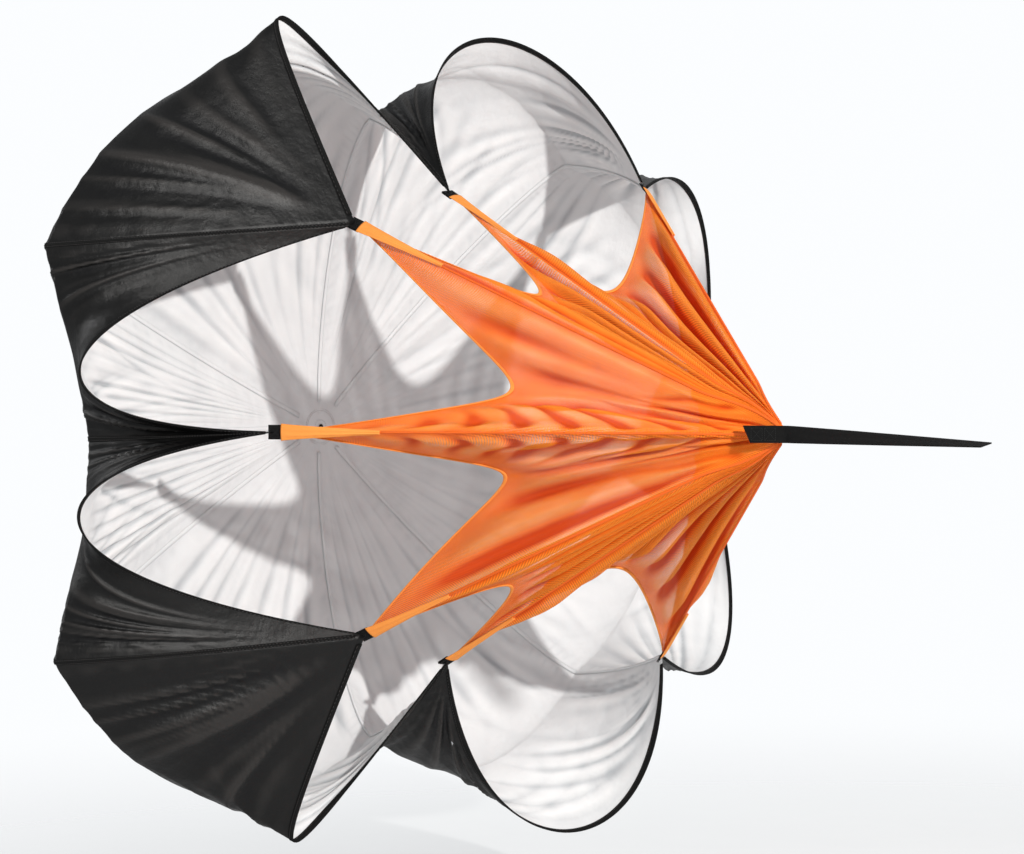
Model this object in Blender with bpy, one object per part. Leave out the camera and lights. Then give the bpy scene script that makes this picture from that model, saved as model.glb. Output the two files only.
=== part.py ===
"""Running resistance parachute, inflated: eight-gore canopy, mesh shroud and webbing tether.

The chute's axis runs along X, towards the runner at +X. The origin is the cut end of the tether.
Units are metres. Fabric is drawn as thin closed sheets with narrow gaps along its sewn edges.
"""
from math import acos, cos, pi, radians, sin

import bmesh
import bpy
from mathutils import Matrix, Vector

# ---- driving sizes -------------------------------------------------------------------------
PULL_RADIUS = 0.455              # mean radius of the ring of pull points, where the mesh takes hold
WEBBING_WIDTH = 0.025
WEBBING_THICKNESS = 0.0025

# Places along the axis, in pull radii from the plane of the pull points. +X is towards the runner.
APEX_X = 1.39                    # where the mesh arms meet
CROWN_X = -0.97                  # back of the canopy
SHOULDER_X = -0.50               # widest ring of the canopy
HEM_TIP_X = -0.35                # tips of the lobes' open edges
ARM_LENGTH = 1.71                # all eight mesh arms are cut to one length
TETHER_LENGTH = 0.78             # apex to cut end
TETHER_DROP = 0.022              # the held end is a little lower than the chute's axis

# How the wind holds the canopy. Angles are degrees from +Y towards +Z, lengths are pull radii.
# One row for each pull point: angle, radius, and the radius and angle of its seam at the
# shoulder. The wind pulls the two seams beside the first lobe towards it.
PULL_POINTS = [
    (180, 0.92, 1.35, 181),
    (129, 0.90, 1.64, 158),
    (97, 0.83, 1.12, 97),
    (52, 1.10, 1.30, 50),
    (0, 1.03, 1.34, 0),
    (-48, 1.12, 1.30, -47),
    (-98, 0.82, 1.12, -97),
    (-126, 0.86, 1.67, -153),
]
# One row for each lobe, from its pull point to the next: angle and radius of the tip of its open
# edge, how round the tip is (0 is pointed), and the radius the gore swells to at mid-width.
LOBES = [
    (171, 1.50, 0.25, 1.44),
    (115, 1.57, 0.00, 1.50),
    (78, 1.46, 0.50, 1.35),
    (29, 1.64, 0.25, 1.48),
    (-28, 1.80, 0.25, 1.39),
    (-65, 1.69, 0.50, 1.33),
    (-113, 1.55, 0.00, 1.53),
    (-168, 1.52, 0.25, 1.42),
]
# One row for each mesh panel: how far its edge scallops towards the apex, how far the panel is
# drawn in towards the axis, and which way the scallop leans (below 1 is towards the next arm).
PANELS = [
    (0.36, 0.16, 0.85),
    (0.36, 0.03, 1.00),
    (0.30, 0.12, 1.00),
    (0.33, 0.12, 1.00),
    (0.33, 0.12, 1.00),
    (0.31, 0.10, 1.00),
    (0.28, 0.02, 1.00),
    (0.34, 0.16, 1.20),
]
SWELL_ROUNDNESS = 1.6            # 2 swells a gore in a round arch, 1 in a ridge
CROWN_FLATNESS = 1.4             # 1 makes the back of the canopy a full dome, 2 makes it a cone
SCALLOP_SHARPNESS = 0.8          # below 1 keeps the arms narrow near their pull points

# ---- sewn details --------------------------------------------------------------------------
CLOTH_THICKNESS = 0.0012
TAPE_THICKNESS = 0.0030
SEAM_TAPE_WIDTH = 0.008
HEM_TAPE_WIDTH = 0.009
BINDING_WIDTH = 0.006
SEWN_GAP = 0.0015
EDGE_GAP = 0.0035                # a little wider where a curved edge is cut into short straights
TAB_LENGTH = 0.024               # folded tab that joins a pull point to its mesh arm
TAB_WIDTH = 0.016
TAB_CLEARANCE = 0.0180           # nothing else comes nearer to a pull point than this
CROWN_PATCH_RADIUS = 0.035
GATHER_RADIUS = 0.010            # the arms are this close to the axis where they are gathered
GATHER_SIZE = (0.016, 0.008, 0.026)
TETHER_LAP = 0.056               # stretch of webbing that is sewn over the mesh
TETHER_SIDE = -0.0065            # the webbing passes the gathered mesh on this side
FLEX_LENGTH = 0.006              # bare webbing that flexes between the lap and the held stretch
TWIST_TAPER = 0.80               # share of its seen width that the webbing loses as it turns

# ---- counts --------------------------------------------------------------------------------
GORE_COLUMNS = 10
GORE_ROWS = 12
FRONT_SHARE = 0.4                # share of a gore's rows in front of its shoulder
SEAM_ROWS = 12
HEM_STATIONS = 28
PANEL_COLUMNS = 10
PANEL_ROWS = 5
BINDING_STATIONS = 20
TETHER_STATIONS = 24
TRACE_STEPS = 60
PROBE_SHARE = 0.03               # how far in from an edge its cloth's direction is taken
FIRST_SHARE = 0.004              # where a sheet's first column looks for its edge
COUNT = len(PULL_POINTS)

COLOURS = {                      # base colour, roughness
    "canopy_nylon": ((0.030, 0.030, 0.034), 0.55),
    "binding_tape": ((0.012, 0.012, 0.013), 0.75),
    "orange_mesh": ((0.90, 0.25, 0.05), 0.60),
    "mesh_binding": ((0.92, 0.42, 0.10), 0.60),
    "webbing": ((0.010, 0.010, 0.011), 0.80),
}


# ---- the chute's shape ---------------------------------------------------------------------
def at(x, radius, angle):
    """Point at a place along the axis, a radius and an angle, all in pull radii and degrees."""
    turn = radians(angle)
    ahead = (x - APEX_X - TETHER_LENGTH) * PULL_RADIUS
    across = radius * PULL_RADIUS
    return Vector((ahead, across * cos(turn), across * sin(turn) + TETHER_DROP * PULL_RADIUS))


def blend(a, b, share):
    return a + (b - a) * share


def pull_point(index):
    """All arms are one length, so a pull point nearer the axis lies further back."""
    angle, radius = PULL_POINTS[index % COUNT][:2]
    return at(APEX_X - (ARM_LENGTH ** 2 - radius ** 2) ** 0.5, radius, angle)


APEX = at(APEX_X, 0, 0)
CUT_END = Vector((0, 0, 0))
AXIS_HEIGHT = TETHER_DROP * PULL_RADIUS


def lobe_angles(index):
    """Angles of a lobe's two seams at the shoulder, falling from the first to the second."""
    first = PULL_POINTS[index][3]
    second = PULL_POINTS[(index + 1) % COUNT][3]
    if second > first:
        second -= 360
    return first, second


def hem_point(index, across):
    """Open edge of a lobe: a Bezier arch from one pull point, through its tip, to the next."""
    start, end = pull_point(index), pull_point(index + 1)
    angle, radius, roundness, _ = LOBES[index]
    middle = (at(HEM_TIP_X, radius, angle) * 8 - start - end) / 6
    handle_a = middle - (end - start) * roundness
    handle_b = middle + (end - start) * roundness
    back = 1 - across
    return (start * back ** 3 + handle_a * (3 * across * back ** 2)
            + handle_b * (3 * across ** 2 * back) + end * across ** 3)


def shoulder(index, across):
    """Radius and angle of the canopy's widest ring across a gore, which swells between seams."""
    first, second = lobe_angles(index)
    seam_a, seam_b = PULL_POINTS[index][2], PULL_POINTS[(index + 1) % COUNT][2]
    swell = LOBES[index][3] - (seam_a + seam_b) / 2
    fullness = 1 - abs(2 * across - 1) ** SWELL_ROUNDNESS
    radius = blend(seam_a, seam_b, across) + swell * fullness
    return radius, blend(first, second, across)


def gore_point(index, across, along):
    """Point on a gore: across from seam to seam, and along from the open edge to the crown."""
    radius, angle = shoulder(index, across)
    if along < FRONT_SHARE:
        share = along / FRONT_SHARE
        hem = hem_point(index, across)
        ring = at(SHOULDER_X, radius, angle)
        corner = at(0, radius, angle)
        corner.x = blend(hem.x, ring.x, 0.45)
        bend = hem.lerp(corner, 0.75)
        bend.x = corner.x
        return hem * (1 - share) ** 2 + bend * (2 * share * (1 - share)) + ring * share ** 2
    inner = (CROWN_PATCH_RADIUS + SEWN_GAP) / (radius * PULL_RADIUS)
    turn = (along - FRONT_SHARE) / (1 - FRONT_SHARE) * acos(inner ** (1 / CROWN_FLATNESS))
    back = SHOULDER_X + (CROWN_X - SHOULDER_X) * sin(turn) ** CROWN_FLATNESS
    return at(back, radius * cos(turn) ** CROWN_FLATNESS, angle)


def seam_point(index, along):
    return gore_point(index % COUNT, 0, along)


def scallop(index, across):
    """Height of a mesh panel's scalloped edge, 0 at both arms and 1 at its deepest."""
    lean = PANELS[index][2]
    share = across ** lean
    return (4 * share * (1 - share)) ** SCALLOP_SHARPNESS if 0 < share < 1 else 0


def panel_point(index, across, along):
    """Point on a mesh panel: across from arm to arm, and along from its edge to the apex."""
    depth, drawn_in, _ = PANELS[index]
    height = scallop(index, across)
    reach = blend(depth * height, 1 - GATHER_RADIUS / PULL_RADIUS, along)
    point = pull_point(index).lerp(pull_point(index + 1), across).lerp(APEX, reach)
    spoke = Vector((0, point.y, point.z - AXIS_HEIGHT))
    bow = 4 * across * (1 - across) * drawn_in * (1 - along)
    return point - spoke.normalized() * min(bow * PULL_RADIUS, spoke.length * 0.5)


# ---- cutting sheets back from their sewn edges ---------------------------------------------
def traced(curve):
    """A curve as a line of short straights."""
    return [curve(step / TRACE_STEPS) for step in range(TRACE_STEPS + 1)]


def distance_to_line(point, line):
    best = min((point - corner).length for corner in line)
    for a, b in zip(line, line[1:]):
        run = b - a
        share = (point - a).dot(run) / run.length_squared
        if 0 < share < 1:
            best = min(best, (point - a - run * share).length)
    return best


def first_clear(is_clear, start, end, steps=40):
    """Nearest value to start, on the way to end, from which the test holds."""
    for step in range(steps + 1):
        value = blend(start, end, step / steps)
        if is_clear(value):
            low = blend(start, end, max(step - 1, 0) / steps)
            for _ in range(12):
                middle = (low + value) / 2
                if is_clear(middle):
                    value = middle
                else:
                    low = middle
            return value
    return end


def trimmed_grid(surface, first_seam, last_seam, edge, corners, side_gap, edge_gap, counts):
    """Grid of points on a surface, kept clear of its two side seams, its edge and its corners."""
    columns, rows = counts

    def clear_of(point, seam):
        return (distance_to_line(point, seam) >= side_gap
                and min((point - corner).length for corner in corners) >= TAB_CLEARANCE)

    grid = []
    for row in range(rows + 1):
        line = []
        for column in range(columns + 1):
            across = blend(FIRST_SHARE, 1 - FIRST_SHARE, column / columns)
            begin = first_clear(
                lambda v: distance_to_line(surface(across, v), edge) >= edge_gap, 0, 0.9)
            along = blend(begin, 1, row / rows)
            left = first_clear(lambda w: clear_of(surface(w, along), first_seam), 0, 0.45)
            right = first_clear(lambda w: clear_of(surface(w, along), last_seam), 1, 0.55)
            line.append(surface(blend(left, right, column / columns), along))
        grid.append(line)
    return grid


# ---- making objects ------------------------------------------------------------------------
def clear_scene():
    for thing in list(bpy.data.objects):
        bpy.data.objects.remove(thing, do_unlink=True)


def make_material(name):
    colour, roughness = COLOURS[name]
    material = bpy.data.materials.new(name)
    material.use_nodes = True
    shader = material.node_tree.nodes["Principled BSDF"]
    shader.inputs["Base Color"].default_value = (*colour, 1)
    shader.inputs["Roughness"].default_value = roughness
    material.diffuse_color = (*colour, 1)
    return material


def finish_mesh(name, bm, material):
    bmesh.ops.recalc_face_normals(bm, faces=bm.faces[:])
    mesh = bpy.data.meshes.new(name)
    bm.to_mesh(mesh)
    bm.free()
    mesh.materials.append(material)
    mesh.shade_smooth()
    mesh.set_sharp_from_angle(angle=radians(40))
    thing = bpy.data.objects.new(name, mesh)
    bpy.context.scene.collection.objects.link(thing)
    return thing


def make_sheet(name, places, thickness, material):
    """Flat grid with each corner moved to its place, given its thickness by Solidify."""
    rows, columns = len(places) - 1, len(places[0]) - 1
    bm = bmesh.new()
    bmesh.ops.create_grid(bm, x_segments=columns, y_segments=rows, size=0.5)
    for corner in bm.verts:
        row = round((corner.co.y + 0.5) * rows)
        column = round((corner.co.x + 0.5) * columns)
        corner.co = places[row][column]
    thing = finish_mesh(name, bm, material)
    solidify = thing.modifiers.new("thickness", "SOLIDIFY")
    solidify.thickness = thickness
    solidify.offset = 0
    return thing


def make_block(name, size, place, material):
    bm = bmesh.new()
    bmesh.ops.create_cube(bm, size=1, matrix=place @ Matrix.Diagonal((*size, 1)))
    return finish_mesh(name, bm, material)


def frame_along(middle, forward, outward):
    """Placement whose X runs forward and whose Z points outward."""
    x = forward.normalized()
    y = outward.cross(x).normalized()
    z = x.cross(y)
    return Matrix.Translation(middle) @ Matrix((x, y, z)).transposed().to_4x4()


# ---- canopy --------------------------------------------------------------------------------
def canopy_gore(index, material):
    seam_a = traced(lambda along: gore_point(index, 0, along))
    seam_b = traced(lambda along: gore_point(index, 1, along))
    hem = traced(lambda across: hem_point(index, across))
    grid = trimmed_grid(
        lambda across, along: gore_point(index, across, along), seam_a, seam_b, hem,
        (seam_a[0], seam_b[0]), SEAM_TAPE_WIDTH / 2 + SEWN_GAP, HEM_TAPE_WIDTH + EDGE_GAP,
        (GORE_COLUMNS, GORE_ROWS))
    make_sheet(f"canopy_gore_{index + 1}", grid, CLOTH_THICKNESS, material)


def seam_tape(index, material):
    """Tape folded over a seam: its middle on the seam and a half lying on each gore."""
    here = pull_point(index)
    begin = first_clear(lambda v: (seam_point(index, v) - here).length >= TAB_CLEARANCE, 0, 0.4)
    grid = []
    for row in range(SEAM_ROWS + 1):
        along = blend(begin, 1, row / SEAM_ROWS)
        middle = seam_point(index, along)
        sides = []
        for gore, across in ((index, PROBE_SHARE), ((index - 1) % COUNT, 1 - PROBE_SHARE)):
            probe = gore_point(gore, across, along)
            reach = (probe - middle).normalized() * (SEAM_TAPE_WIDTH / 2)
            sides.append(middle + reach)
        grid.append([sides[0], middle, sides[1]])
    make_sheet(f"seam_tape_{index + 1}", grid, TAPE_THICKNESS, material)


def edge_tape(name, edge, inward, corners, width, stations, material):
    """Binding along an open edge: one side on the edge and the other a tape's width inside."""
    start = first_clear(lambda w: (edge(w) - corners[0]).length >= TAB_CLEARANCE, 0, 0.4)
    end = first_clear(lambda w: (edge(w) - corners[1]).length >= TAB_CLEARANCE, 1, 0.6)
    grid = []
    for station in range(stations + 1):
        across = blend(start, end, station / stations)
        outer = edge(across)
        grid.append([outer, outer + inward(across).normalized() * width])
    make_sheet(name, grid, TAPE_THICKNESS, material)


def hem_tape(index, material):
    edge_tape(
        f"hem_tape_{index + 1}", lambda across: hem_point(index, across),
        lambda across: gore_point(index, across, PROBE_SHARE) - hem_point(index, across),
        (pull_point(index), pull_point(index + 1)), HEM_TAPE_WIDTH, HEM_STATIONS, material)


def pull_tab(index, material):
    here = pull_point(index)
    outward = Vector((0, here.y, here.z - AXIS_HEIGHT))
    place = frame_along(here, APEX - here, outward)
    make_block(f"pull_tab_{index + 1}", (TAB_LENGTH, TAB_WIDTH, TAPE_THICKNESS), place, material)


def crown_patch(material):
    centre = at(CROWN_X, 0, 0)
    bm = bmesh.new()
    bmesh.ops.create_cone(
        bm, cap_ends=True, segments=32, radius1=CROWN_PATCH_RADIUS, radius2=CROWN_PATCH_RADIUS,
        depth=TAPE_THICKNESS, matrix=Matrix.Translation(centre) @ Matrix.Rotation(pi / 2, 4, "Y"))
    finish_mesh("crown_patch", bm, material)


# ---- mesh shroud ---------------------------------------------------------------------------
def mesh_panel(index, material):
    arm_a = traced(lambda along: pull_point(index).lerp(APEX, along))
    arm_b = traced(lambda along: pull_point(index + 1).lerp(APEX, along))
    edge = traced(lambda across: panel_point(index, across, 0))
    grid = trimmed_grid(
        lambda across, along: panel_point(index, across, along), arm_a, arm_b, edge,
        (arm_a[0], arm_b[0]), SEWN_GAP, BINDING_WIDTH + EDGE_GAP,
        (PANEL_COLUMNS, PANEL_ROWS))
    make_sheet(f"mesh_panel_{index + 1}", grid, CLOTH_THICKNESS, material)


def mesh_binding(index, material):
    edge_tape(
        f"mesh_binding_{index + 1}", lambda across: panel_point(index, across, 0),
        lambda across: panel_point(index, across, PROBE_SHARE) - panel_point(index, across, 0),
        (pull_point(index), pull_point(index + 1)), BINDING_WIDTH, BINDING_STATIONS, material)


def mesh_gather(material):
    """Stack of the eight arm ends, sewn flat."""
    length = GATHER_SIZE[0]
    start = APEX.x - GATHER_RADIUS * APEX_X + SEWN_GAP
    place = Matrix.Translation((start + length / 2, 0, AXIS_HEIGHT))
    make_block("mesh_gather", GATHER_SIZE, place, material)


# ---- tether --------------------------------------------------------------------------------
def tether_lap(material):
    """Start of the webbing, sewn over the nearest mesh arm and past the gathered mesh."""
    arm = (pull_point(0) - APEX).normalized()
    near = Vector((APEX.x, TETHER_SIDE, AXIS_HEIGHT))
    far = near + arm * TETHER_LAP
    far.z = AXIS_HEIGHT
    place = frame_along((near + far) / 2, near - far, Vector((0, -1, 0)))
    size = ((near - far).length, WEBBING_WIDTH, WEBBING_THICKNESS)
    make_block("tether_lap", size, place, material)


def tether_webbing(material):
    """Held stretch of the tether, upright at the chute and turned nearly flat at its cut end."""
    start = Vector((APEX.x + FLEX_LENGTH, TETHER_SIDE, AXIS_HEIGHT))
    places = []
    for station in range(TETHER_STATIONS + 1):
        share = station / TETHER_STATIONS
        middle = start.lerp(CUT_END, share)
        turn = acos(1 - TWIST_TAPER * share)
        wide = Vector((0, sin(turn), cos(turn))) * (WEBBING_WIDTH / 2)
        places.append([middle - wide, middle + wide])
    make_sheet("tether_webbing", places, WEBBING_THICKNESS, material)


def main():
    clear_scene()
    nylon, tape, mesh, binding, webbing = [make_material(name) for name in COLOURS]
    for index in range(COUNT):
        canopy_gore(index, nylon)
        seam_tape(index, tape)
        hem_tape(index, tape)
        pull_tab(index, tape)
        mesh_panel(index, mesh)
        mesh_binding(index, binding)
    crown_patch(tape)
    mesh_gather(mesh)
    tether_lap(webbing)
    tether_webbing(webbing)


main()
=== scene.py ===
# %% [markdown]
# # A running resistance parachute
# A runner tows this chute by one strip of webbing. Air fills the round canopy of black nylon,
# which is silver inside, and a star of orange mesh gathers the pull into the tether. This
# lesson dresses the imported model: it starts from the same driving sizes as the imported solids,
# and builds each soft part again as thin cloth with folds, seams and stitches.

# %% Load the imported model
from math import acos, atan2, cos, exp, pi, radians, sin

import bmesh
import bpy
from mathutils import Matrix, Vector, noise
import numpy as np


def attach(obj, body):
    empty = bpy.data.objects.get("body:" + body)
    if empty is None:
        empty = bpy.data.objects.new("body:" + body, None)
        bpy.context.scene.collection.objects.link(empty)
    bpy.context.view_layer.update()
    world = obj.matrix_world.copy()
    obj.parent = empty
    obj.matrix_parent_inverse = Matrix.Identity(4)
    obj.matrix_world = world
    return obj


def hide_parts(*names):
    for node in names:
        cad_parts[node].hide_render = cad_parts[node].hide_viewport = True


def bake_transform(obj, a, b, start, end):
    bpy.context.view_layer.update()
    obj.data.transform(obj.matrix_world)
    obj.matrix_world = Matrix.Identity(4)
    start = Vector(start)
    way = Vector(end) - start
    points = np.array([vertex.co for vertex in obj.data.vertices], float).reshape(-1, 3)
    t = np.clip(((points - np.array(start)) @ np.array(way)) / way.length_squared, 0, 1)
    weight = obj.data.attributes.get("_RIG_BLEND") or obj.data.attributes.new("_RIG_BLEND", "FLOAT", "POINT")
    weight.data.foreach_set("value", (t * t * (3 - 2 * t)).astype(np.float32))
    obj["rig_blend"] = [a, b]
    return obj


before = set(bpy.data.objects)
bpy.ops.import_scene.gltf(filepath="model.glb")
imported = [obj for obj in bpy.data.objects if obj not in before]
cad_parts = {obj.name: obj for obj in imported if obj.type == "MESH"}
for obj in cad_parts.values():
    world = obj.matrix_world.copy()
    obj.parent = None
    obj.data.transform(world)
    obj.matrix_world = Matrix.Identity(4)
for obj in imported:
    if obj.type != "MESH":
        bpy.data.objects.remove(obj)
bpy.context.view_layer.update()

# %% [markdown]
# ## The chute's own measurements
# A maker would start from the ring of pull points, where the mesh takes hold of the canopy.
# Places along the axis, radii and angles are all given in pull radii and degrees, as the solids
# are, so that cloth and solids agree. The tables say how the wind happens to hold each lobe.

# %% Driving sizes
PULL_RADIUS = 0.455
APEX_X = 1.39
CROWN_X = -0.97
SHOULDER_X = -0.50
HEM_TIP_X = -0.35
ARM_LENGTH = 1.71
TETHER_LENGTH = 0.78
TETHER_DROP = 0.022
WEBBING_WIDTH = 0.025
WEBBING_THICKNESS = 0.0021
# Each pull point: angle, radius, and its seam's radius and angle at the shoulder.
PULL_POINTS = [
    (180, 0.92, 1.35, 181),
    (129, 0.90, 1.64, 158),
    (97, 0.83, 1.12, 97),
    (52, 1.10, 1.30, 50),
    (0, 1.03, 1.34, 0),
    (-48, 1.12, 1.30, -47),
    (-98, 0.82, 1.12, -97),
    (-126, 0.86, 1.67, -153),
]
# Each lobe: angle, radius and roundness of its open edge's tip, and the radius its gore swells to.
LOBES = [
    (171, 1.50, 0.25, 1.44),
    (115, 1.57, 0.00, 1.50),
    (78, 1.46, 0.50, 1.35),
    (29, 1.64, 0.25, 1.48),
    (-28, 1.80, 0.25, 1.39),
    (-65, 1.69, 0.50, 1.33),
    (-113, 1.55, 0.00, 1.53),
    (-168, 1.52, 0.25, 1.42),
]
# Each mesh panel: depth of its scallop, how far it is drawn in, and which way it leans.
PANELS = [
    (0.36, 0.16, 0.85),
    (0.36, 0.03, 1.00),
    (0.30, 0.12, 1.00),
    (0.33, 0.12, 1.00),
    (0.33, 0.12, 1.00),
    (0.31, 0.10, 1.00),
    (0.28, 0.02, 1.00),
    (0.34, 0.16, 1.20),
]
COUNT = len(PULL_POINTS)
SWELL_ROUNDNESS = 1.6
CROWN_FLATNESS = 1.4
SCALLOP_SHARPNESS = 0.8
CROWN_PATCH_RADIUS = 0.035
FRONT_SHARE = 0.4
AXIS_HEIGHT = TETHER_DROP * PULL_RADIUS


def at(x, radius, angle):
    """Point at a place along the axis, a radius and an angle."""
    turn = radians(angle)
    across = radius * PULL_RADIUS
    ahead = (x - APEX_X - TETHER_LENGTH) * PULL_RADIUS
    return Vector((ahead, across * cos(turn), across * sin(turn) + AXIS_HEIGHT))


def mix(a, b, share):
    return a + (b - a) * share


def pull_point(index):
    """All arms are one length, so a pull point nearer the axis lies further back."""
    angle, radius = PULL_POINTS[index % COUNT][:2]
    return at(APEX_X - (ARM_LENGTH ** 2 - radius ** 2) ** 0.5, radius, angle)


APEX = at(APEX_X, 0, 0)
CENTRE = at(0, 0, 0)
for name, place in (("pull ring", CENTRE), ("apex", APEX)):
    print(name, "at", tuple(round(c, 3) for c in place))

# %% [markdown]
# ## The camera
# The camera stands almost level with the chute, on the side where the canopy opens, and far
# enough away for a long lens. The whole tether is inside its view.

# %% Camera
CAMERA_TURN = radians(47.5)
CAMERA_RISE = radians(0.8)
CAMERA_DISTANCE = 10 * PULL_RADIUS
LENS = 100.2                      # millimetres, on a sensor of SENSOR_WIDTH
SENSOR_WIDTH = 36
AIM_ASIDE, AIM_UP = 0.031, 0.004  # where the camera looks, from the middle of the pull ring


def direction(turn, rise):
    """Unit vector from the chute towards a place at this bearing and height."""
    return Vector((sin(turn) * cos(rise), -cos(turn) * cos(rise), sin(rise)))


def add_camera():
    lens = bpy.data.cameras.new("view")
    lens.lens = LENS
    lens.sensor_width = SENSOR_WIDTH
    lens.clip_end = 60
    camera = bpy.data.objects.new("view", lens)
    bpy.context.scene.collection.objects.link(camera)
    back = direction(CAMERA_TURN, CAMERA_RISE)
    sideways = Vector((cos(CAMERA_TURN), sin(CAMERA_TURN), 0))
    target = CENTRE + sideways * AIM_ASIDE + Vector((0, 0, AIM_UP))
    camera.location = target + back * CAMERA_DISTANCE
    camera.rotation_euler = back.to_track_quat("Z", "Y").to_euler()
    bpy.context.scene.camera = camera


add_camera()
print("camera", round(CAMERA_DISTANCE, 2), "m away")

# %% [markdown]
# ## How the finishes are made
# Nylon, mesh and tape are all woven, so each finish carries its threads. Every sheet has a UV
# map called "cloth", laid out in metres, which keeps a weave at its real size and lets it
# follow the cloth. Folds are real shape. The nodes paint light and shade into their valleys and
# ridges, which each sheet stores as an attribute called "fold", and add threads, small creases and wear.

# %% Helpers for finishes
class Finish:
    """A material under construction, with one method for each kind of node it needs."""

    def __init__(self, name, colour, roughness):
        self.material = bpy.data.materials.new(name)
        self.material.use_nodes = True
        self.material.diffuse_color = (*colour, 1)
        self.tree = self.material.node_tree
        self.shader = self.tree.nodes["Principled BSDF"]
        self.set("Base Color", (*colour, 1))
        self.set("Roughness", roughness)
        self.last_bump = None

    def set(self, socket, value):
        if hasattr(value, "is_output"):
            self.tree.links.new(value, self.shader.inputs[socket])
        else:
            self.shader.inputs[socket].default_value = value

    def node(self, kind, inputs, **settings):
        node = self.tree.nodes.new(kind)
        for key, value in settings.items():
            setattr(node, key, value)
        for key, value in inputs.items():
            if hasattr(value, "is_output"):
                self.tree.links.new(value, node.inputs[key])
            else:
                node.inputs[key].default_value = value
        return node

    def maths(self, operation, *values):
        return self.node("ShaderNodeMath", dict(enumerate(values)), operation=operation).outputs[0]

    def cloud(self, scale, detail, roughness=0.55):
        """Soft noise fixed to the piece, in metres."""
        place = self.node("ShaderNodeTexCoord", {}).outputs["Object"]
        inputs = {"Vector": place, "Scale": scale, "Detail": detail, "Roughness": roughness}
        return self.node("ShaderNodeTexNoise", inputs).outputs["Fac"]

    def fold(self):
        """How far the cloth stands over its surroundings: 0 in a valley, 1 on a ridge."""
        return self.node("ShaderNodeAttribute", {}, attribute_name="fold").outputs["Fac"]

    def flat_place(self):
        """Place on the flat cut of the cloth, across and along, in metres."""
        place = self.node("ShaderNodeUVMap", {}, uv_map="cloth").outputs["UV"]
        parts = self.node("ShaderNodeSeparateXYZ", {0: place})
        return parts.outputs["X"], parts.outputs["Y"]

    def threads(self, place, pitch):
        """Rounded threads side by side: 1 on top of each and 0 between them."""
        return self.maths("ABSOLUTE", self.maths("SINE", self.maths("MULTIPLY", place, pi / pitch)))

    def ramp(self, source, *stops):
        node = self.node("ShaderNodeValToRGB", {0: source})
        places = node.color_ramp.elements
        while len(places) < len(stops):
            places.new(0.5)
        for element, (place, colour) in zip(places, stops):
            element.position = place
            element.color = (*colour, 1)
        return node.outputs[0]

    def bump(self, height, distance, strength):
        inputs = {"Height": height, "Distance": distance, "Strength": strength}
        if self.last_bump is not None:
            inputs["Normal"] = self.last_bump
        self.last_bump = self.node("ShaderNodeBump", inputs).outputs["Normal"]
        self.set("Normal", self.last_bump)


# %% [markdown]
# ## Canopy nylon
# The outside is black taffeta with close threads, a faint sheen and a web of small creases
# from being packed. The inside has a silver-grey coating, which is paler and shines more softly.
# On both sides the valleys of the folds are painted darker, as painted shade, and the ridges
# painted lighter, as a painted highlight.

# %% Canopy finishes
def nylon(name, colours, roughness, crease):
    """Taffeta: colours run from the outside's valleys, over the flats, to its ridges, as painted shade and
    painted highlight on the folds.
    """
    finish = Finish(name, colours[1], roughness)
    across, along = finish.flat_place()
    weave = finish.maths("MULTIPLY", finish.threads(across, 0.0006), finish.threads(along, 0.0006))
    patchy = finish.maths("MULTIPLY_ADD", finish.cloud(9, 4), 0.3, -0.15)
    # Painted light and shade: the fold attribute darkens the valleys and lightens the ridges, and random
    # patches are added.
    fold_light_and_patches = finish.maths("ADD", finish.fold(), patchy)
    finish.set("Base Color", finish.ramp(fold_light_and_patches, *zip((0.15, 0.5, 0.85), colours)))
    worn = finish.maths("MULTIPLY_ADD", finish.cloud(55, 3), 0.3, roughness - 0.15)
    finish.set("Roughness", worn)
    finish.bump(finish.cloud(30, 4), 0.004, crease)
    finish.bump(finish.cloud(110, 3), 0.001, crease)
    finish.bump(weave, 0.0002, 0.4)
    return finish


# Valley, flat and ridge colours. Outside: painted shade in the valleys and a painted highlight on the
# ridges. Silver inside: the first is a painted highlight on its inner ridges, the last a cool painted shade
# in its inner valleys.
BLACK_NYLON = nylon("black_nylon", [(0.0015, 0.0015, 0.002), (0.003, 0.003, 0.003),
                                    (0.022, 0.020, 0.019)], 0.38, 0.5)
BLACK_NYLON.set("Specular IOR Level", 0.26)
SILVER = nylon("silver_coating", [(0.84, 0.84, 0.84), (0.70, 0.71, 0.72), (0.44, 0.46, 0.48)],
               0.5, 0.5)
print("canopy finishes:", BLACK_NYLON.material.name, SILVER.material.name)

# %% [markdown]
# ## Orange mesh
# The shroud is a knitted net. Its holes are truly see-through, so two layers look deeper than
# one, as they do on a real chute. On a ridge they are less open, and the ridge, where the net
# lies folded double, is also painted a deeper orange as painted shade. Folded edges and seams are
# several layers thick: their holes have closed up and only their knit is left.

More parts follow.
